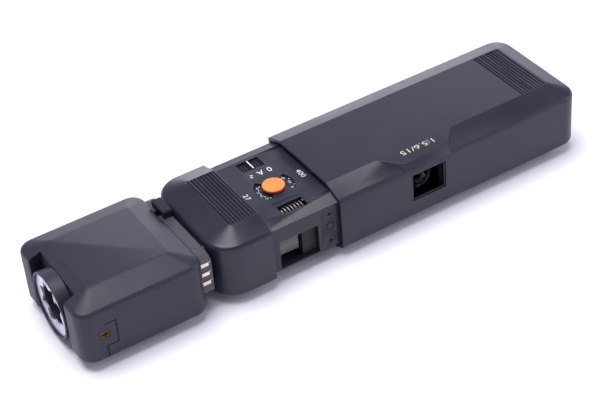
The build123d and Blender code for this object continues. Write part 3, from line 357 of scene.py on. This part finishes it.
chip_black = Finish("component resin", ior=1.5)
powder = chip_black.noise(0.2 * mm, 3.0)
chip_black.colour(chip_black.mix(powder, rgb(0.015, 0.015, 0.016), rgb(0.05, 0.05, 0.052)))
chip_black.roughness(powder * 0.2 + 0.5)

battery_skin = Finish("battery jacket", metallic=0.7)
ends = (abs(battery_skin.y - middle("battery").y)).ramp(6.4 * mm, 6.6 * mm)
grime = battery_skin.noise(1.2 * mm, 3.0)
battery_skin.colour(battery_skin.mix(ends, rgb(0.04, 0.1, 0.2), rgb(0.75, 0.74, 0.7)))
battery_skin.roughness(grime * 0.25 + 0.22)

white = Finish("white print", ior=1.45)
fade = white.noise(0.35 * mm, 3.0)
white.colour(white.mix(fade, rgb(0.62, 0.62, 0.66), rgb(0.92, 0.92, 0.96)))
white.roughness(fade * 0.2 + 0.45)

pale_gold = Finish("pale gold print", ior=1.45)
rub = pale_gold.noise(0.3 * mm, 3.0)
pale_gold.colour(pale_gold.mix(rub, rgb(0.5, 0.42, 0.3), rgb(0.85, 0.76, 0.58)))
pale_gold.roughness(rub * 0.2 + 0.4)
print(len(bpy.data.materials), "materials")

# %% [markdown]
# ## One finish for each node
# The node's record slot is the plain material it is made from; here each node gets the finish that
# belongs to it. Nodes with the same finish are listed together.

# %% Dress the nodes
dress = {
    shell_black: "sleeve",
    cap_black: "end_cap",
    adapter_black: "adapter_housing adapter_base_cover cube_socket",
    deck_black: "deck",
    chassis_black: "chassis",
    inner_black: "light_box film_cassette supply_roll control_plate",
    crinkle: "adapter_neck",
    baffle_black: "finder_baffle",
    part_black: "release_latch film_speed_dial mode_selector lens_barrel take_up_spool socket_retainer",
    blackened: "stop_plate stop_plate_screws catch_pin aperture_ring shutter_plate shutter_blade "
               "pressure_plate lens_window_frame deck_screws adapter_base_screws",
    steel: "button_spring catch_spring pressure_spring battery_contacts light_cell",
    brass: "advance_pinion advance_rack",
    old_brass: "adapter_side_screw",
    gold: "contact_strips contact_leads flash_contact_pins socket_contacts",
    silver: "socket_plate",
    orange: "shutter_button",
    glass: "front_lens rear_lens finder_rear_lens",
    finder_glass: "finder_front_lens",
    coil_metal: "window_coil",
    copper: "shutter_magnet",
    film_base: "film_strip",
    laminate: "circuit_board",
    chip_black: "board_components",
    battery_skin: "battery",
}
for finish, names in dress.items():
    for name in names.split():
        for holder in nodes[name].material_slots:
            holder.material = finish.material
print("undressed:", sorted(set(nodes) - set(" ".join(dress.values()).split())))

# %% [markdown]
# ## Easing the casings
# A moulded casing has no razor edges: its creases are a tenth of a millimetre or two round. Each
# casing's mesh is copied, its flat triangles are dissolved into whole faces, and its longer creases
# are bevelled, so that they catch a thin light. Edges under three millimetres are left as they are,
# because a bevel there would fold over itself.


# %% Copy and ease four casings
def finish_piece(name, shape, finish, body):
    """A new object from a bmesh, closed, facing outward and riding a body."""
    bmesh.ops.recalc_face_normals(shape, faces=shape.faces)
    mesh = bpy.data.meshes.new(name)
    shape.to_mesh(mesh)
    shape.free()
    mesh.materials.append(finish.material)
    made = bpy.data.objects.new(name, mesh)
    scene.collection.objects.link(made)
    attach(made, body)
    return made


flat_angle, crease_angle, smooth_angle = radians(0.6), radians(15), radians(28)
shortest_crease = 3 * mm


def ease(node, finish, body, width):
    """Replace a casing by a copy whose long creases are bevelled by width."""
    shape = bmesh.new()
    shape.from_mesh(nodes[node].data)
    bmesh.ops.remove_doubles(shape, verts=shape.verts, dist=1e-6)
    bmesh.ops.dissolve_limit(shape, angle_limit=flat_angle, verts=shape.verts,
                             edges=shape.edges)
    creases = [edge for edge in shape.edges
               if edge.is_manifold and edge.calc_length() > shortest_crease
               and edge.calc_face_angle() > crease_angle]
    bmesh.ops.bevel(shape, geom=creases, offset=width, offset_type="OFFSET", affect="EDGES",
                    segments=3, profile=0.5, material=-1, clamp_overlap=False)
    for face in shape.faces:
        face.material_index = 0
        face.smooth = True
    made = finish_piece("eased_" + node, shape, finish, body)
    made.data.set_sharp_from_angle(angle=smooth_angle)
    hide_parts(node)
    print(node, len(creases), "creases,", len(made.data.polygons), "faces")


casing_ease, deck_ease = 0.16 * mm, 0.06 * mm
ease("sleeve", shell_black, "sleeve", casing_ease)
ease("end_cap", cap_black, "camera", casing_ease)
ease("adapter_housing", adapter_black, "adapter", casing_ease)
ease("deck", deck_black, "camera", deck_ease)

# %% [markdown]
# ## A wound coil in the deck window
# In the recess by the front edge lies a small open coil. One circle, the section of the wire, is
# spun round the coil's axis while it creeps along it, which is just what a winding machine does.

# %% Wind the coil
coil_low, coil_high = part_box("window_coil")
coil_middle = (coil_low + coil_high) / 2
wire_radius = 0.14 * mm
coil_turns, turn_steps, wire_sides = 7, 20, 8
winding_radius = (coil_high.z - coil_low.z) / 2 - wire_radius
coil_run = coil_high.x - coil_low.x - 2 * wire_radius
coil = bmesh.new()
bmesh.ops.create_circle(coil, cap_ends=False, segments=wire_sides, radius=wire_radius,
                        matrix=Matrix.Translation((coil_low.x + wire_radius, coil_middle.y,
                                                   coil_middle.z + winding_radius))
                        @ Matrix.Rotation(pi / 2, 4, "X"))
bmesh.ops.spin(coil, geom=list(coil.verts) + list(coil.edges), cent=coil_middle, axis=(1, 0, 0),
               dvec=(coil_run / (coil_turns * turn_steps), 0, 0), angle=2 * pi * coil_turns,
               steps=coil_turns * turn_steps, use_merge=False)
bmesh.ops.holes_fill(coil, edges=[edge for edge in coil.edges if edge.is_boundary], sides=0)
for face in coil.faces:
    face.smooth = len(face.verts) == 4
winding = finish_piece("coil_winding", coil, coil_metal, "camera")
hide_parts("window_coil")
print("coil of", coil_turns, "turns,", len(winding.data.polygons), "faces")

# %% [markdown]
# ## Printed marks
# Numerals and dots are printed on the deck, the dial and the sleeve. Each group is one thin mesh,
# half sunk in its surface so that only a few thousandths of a millimetre stand proud, and it rides
# the body that carries it. A letter curve becomes a mesh first and is placed afterwards.


# %% Print the marks
print_height = 0.01 * mm   # the thickness of the ink, half of it above the surface
cap_share = 0.69           # height of a capital, as a share of the letter size


def add_text(shape, words, tall, place, turn, squeeze=1.0):
    """Words whose capitals are tall high, centred on place and turned about Z."""
    curve = bpy.data.curves.new("words", "FONT")
    curve.body, curve.size, curve.extrude = words, tall / cap_share, print_height / 2
    curve.align_x = curve.align_y = "CENTER"
    curve.resolution_u = 3
    holder = bpy.data.objects.new("words", curve)
    scene.collection.objects.link(holder)
    ready = holder.evaluated_get(bpy.context.evaluated_depsgraph_get())
    flat = bpy.data.meshes.new_from_object(ready)
    bpy.data.objects.remove(holder)
    flat.transform(Matrix.Translation(place) @ Matrix.Rotation(turn, 4, "Z")
                   @ Matrix.Diagonal((squeeze, 1, 1, 1)))
    shape.from_mesh(flat)
    bmesh.ops.remove_doubles(shape, verts=shape.verts, dist=1e-7)


def add_disc(shape, place, radius, corners=16, stretch=1.0, turn=0.0):
    """A thin printed dot, or a wedge when it has three corners."""
    bmesh.ops.create_cone(shape, cap_ends=True, segments=corners, radius1=radius, radius2=radius,
                          depth=print_height,
                          matrix=Matrix.Translation(place) @ Matrix.Rotation(turn, 4, "Z")
                          @ Matrix.Diagonal((1, stretch, 1, 1)))


def on_deck(right, back):
    """A point on the deck, from the button's centre."""
    return Vector((button_middle.x + right * mm, button_middle.y + back * mm, deck_high.z))


mode_tall, scale_tall, scale_squeeze = 1.6 * mm, 1.15 * mm, 1.25
deck_print = bmesh.new()
add_text(deck_print, "0", mode_tall, on_deck(2.64, 6.19), pi)
add_text(deck_print, "A", mode_tall, on_deck(0.4, 6.25), pi)
bolt = on_deck(-1.95, 6.11)         # two slim wedges, one up and one down, make the flash sign
for side in (-1, 1):
    add_disc(deck_print, bolt + Vector((side * 0.12, side * 0.33, 0)) * mm, 0.26 * mm, 3, 1.9,
             radians(90 - 20 + 180 * (side > 0)))
add_text(deck_print, "400", scale_tall, on_deck(7.35, 0.56), -pi / 2, scale_squeeze)
add_text(deck_print, "27", scale_tall, on_deck(-6.63, 0.39), -pi / 2, scale_squeeze)
finish_piece("deck_print", deck_print, white, "camera")

dial_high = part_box("film_speed_dial")[1]


def on_dial(reach, bearing):
    """A point on the dial's face, from its centre."""
    angle = radians(bearing)
    return Vector((button_middle.x + reach * mm * cos(angle),
                   button_middle.y + reach * mm * sin(angle), dial_high.z))


def add_scale(shape, words, tall, reach, first, step, dot_reach, dot_radius, dot_lag):
    """Numerals round the dial, each with a dot beside it, all bearings in degrees."""
    for place, word in enumerate(words.split()):
        bearing = first + step * place
        add_text(shape, word, tall, on_dial(reach, bearing), radians(bearing - 90), 0.85)
        add_disc(shape, on_dial(dot_reach, bearing + dot_lag), dot_radius)


dial_print = bmesh.new()
add_scale(dial_print, "25 50 100 200 400 800", 0.62 * mm, reach=4.05, first=-60, step=30,
          dot_reach=4.65, dot_radius=0.15 * mm, dot_lag=13)
add_scale(dial_print, "15 18 21 24 27 30", 0.6 * mm, reach=3.55, first=120, step=24,
          dot_reach=3.3, dot_radius=0.14 * mm, dot_lag=12)
finish_piece("dial_print", dial_print, white, "film_speed_dial")

selector_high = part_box("mode_selector")[1]
line_width, line_length = 0.3 * mm, 3.2 * mm
index = bmesh.new()
bmesh.ops.create_cube(index, size=1.0, matrix=Matrix.Translation(
    (middle("mode_selector").x, middle("mode_selector").y, selector_high.z))
    @ Matrix.Diagonal((line_width, line_length, print_height, 1)))
finish_piece("index_line", index, white, "mode_selector")

sleeve_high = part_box("sleeve")[1]
lens_print_y = -10.9 * mm           # on the hood over the window
window_middle = middle("lens_window_frame")
lens_print = bmesh.new()
add_text(lens_print, "1:5.6/15", 1.5 * mm,
         Vector((window_middle.x, lens_print_y, sleeve_high.z)), pi, 1.35)
finish_piece("lens_print", lens_print, pale_gold, "sleeve")
print("marks printed on deck, dial, selector and sleeve")

# %% [markdown]
# ## Tails on the contact strips
# Each gilt strip on the neck ends in a thin flat tail that bends up toward the camera. A stretched
# and tilted cube is enough for a tail little more than a tenth of a millimetre thick.

# %% Bend three tails
strips_low, strips_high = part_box("contact_strips")
strip_half = 0.45 * mm
tail_length, tail_width, tail_thickness = 0.7 * mm, 0.16 * mm, 0.12 * mm
tail_tilt = radians(-35)
tails = bmesh.new()
for share in (0.0, 0.5, 1.0):
    level = strips_low.z + strip_half + share * (strips_high.z - strips_low.z - 2 * strip_half)
    bmesh.ops.create_cube(tails, size=1.0, matrix=Matrix.Translation(
        (strips_high.x + 0.22 * mm, strips_low.y + 0.2 * mm, level + 0.3 * mm))
        @ Matrix.Rotation(tail_tilt, 4, "Y")
        @ Matrix.Diagonal((tail_length, tail_width, tail_thickness, 1)))
finish_piece("contact_tails", tails, gold, "adapter")
print("tails from X", round(strips_high.x / mm, 2), "mm")

# %% [markdown]
# ## Camera
# The eye is above and in front of the camera's left end, turned a little about its own axis. The
# camera object is placed from an azimuth, an elevation and a distance, so each number is one that a
# person could read off a tripod.

# %% Place the viewing camera
view_target = Vector((-5.337, -4.669, 11.6)) * mm
view_azimuth, view_elevation, view_roll = radians(-29.15), radians(38.18), radians(-5.13)
view_distance = 371.9 * mm
toward_eye = Vector((sin(view_azimuth) * cos(view_elevation),
                     -cos(view_azimuth) * cos(view_elevation), sin(view_elevation)))
optics = bpy.data.cameras.new("viewing camera")
optics.lens, optics.sensor_width = 101.66, 36.0
optics.clip_start = 0.01
viewer = bpy.data.objects.new("viewing camera", optics)
scene.collection.objects.link(viewer)
aim = toward_eye.to_track_quat("Z", "Y").to_matrix().to_4x4()
viewer.matrix_world = (Matrix.Translation(view_target + toward_eye * view_distance)
                       @ aim @ Matrix.Rotation(view_roll, 4, "Z"))
scene.camera = viewer
print("camera at", [round(value, 4) for value in viewer.matrix_world.translation])

# %% [markdown]
# ## Floor and light
# A pale sweep under the object and a light tent round it: the world is bright at the horizon and
# dimmer overhead, so upright faces reflect white card and flat tops stay dark. An overhead and a
# side lamp give the faint shadow, and a third one, low behind, brightens the far slopes.

# %% Build the studio
floor_finish = Finish("pale floor", roughness=0.9)
mottle = floor_finish.noise(0.12, 2.0)
floor_finish.colour(floor_finish.mix(mottle, rgb(0.92, 0.92, 0.95), rgb(0.95, 0.95, 0.97)))
sheet = bmesh.new()
bmesh.ops.create_circle(sheet, cap_ends=True, cap_tris=False, segments=64, radius=3.0)
bmesh.ops.translate(sheet, verts=sheet.verts, vec=(0, 0, -0.05 * mm))
floor_mesh = bpy.data.meshes.new("floor")
sheet.to_mesh(floor_mesh)
sheet.free()
floor_mesh.materials.append(floor_finish.material)
floor = bpy.data.objects.new("floor", floor_mesh)
scene.collection.objects.link(floor)

world = bpy.data.worlds.new("light tent")
scene.world = world
world.use_nodes = True
sky = world.node_tree
direction = sky.nodes.new("ShaderNodeTexCoord").outputs["Generated"]
height = sky.nodes.new("ShaderNodeSeparateXYZ")
fall = sky.nodes.new("ShaderNodeMapRange")
tint = sky.nodes.new("ShaderNodeMix")
tint.data_type = "RGBA"
fall.inputs["From Min"].default_value = 0.08
fall.inputs["From Max"].default_value = 0.55
tint.inputs[6].default_value = rgb(0.88, 0.86, 1.0)
tint.inputs[7].default_value = rgb(0.30, 0.295, 0.44)
sky.links.new(direction, height.inputs[0])
sky.links.new(height.outputs[2], fall.inputs["Value"])
sky.links.new(fall.outputs["Result"], tint.inputs[0])
sky.links.new(tint.outputs[2], sky.nodes["Background"].inputs["Color"])
sky.nodes["Background"].inputs["Strength"].default_value = 0.9


def soft_lamp(name, place, size, power, colour=(1, 1, 1)):
    lamp = bpy.data.lights.new(name, "AREA")
    lamp.shape, lamp.size, lamp.energy, lamp.color = "DISK", size, power, colour
    holder = bpy.data.objects.new(name, lamp)
    scene.collection.objects.link(holder)
    holder.matrix_world = (Matrix.Translation(place)
                           @ Vector(place).to_track_quat("Z", "Y").to_matrix().to_4x4())


soft_lamp("overhead lamp", (-0.15, 0.1, 1.15), 0.8, 13.5, (0.99, 0.98, 1.0))
soft_lamp("side lamp", (0.9, -0.5, 0.5), 0.6, 3.0, (0.98, 0.97, 1.0))
soft_lamp("back card lamp", (0.8, 1.2, 0.22), 1.0, 7.0, (0.93, 0.92, 1.0))
scene.view_settings.view_transform = "Standard"
print("studio ready")
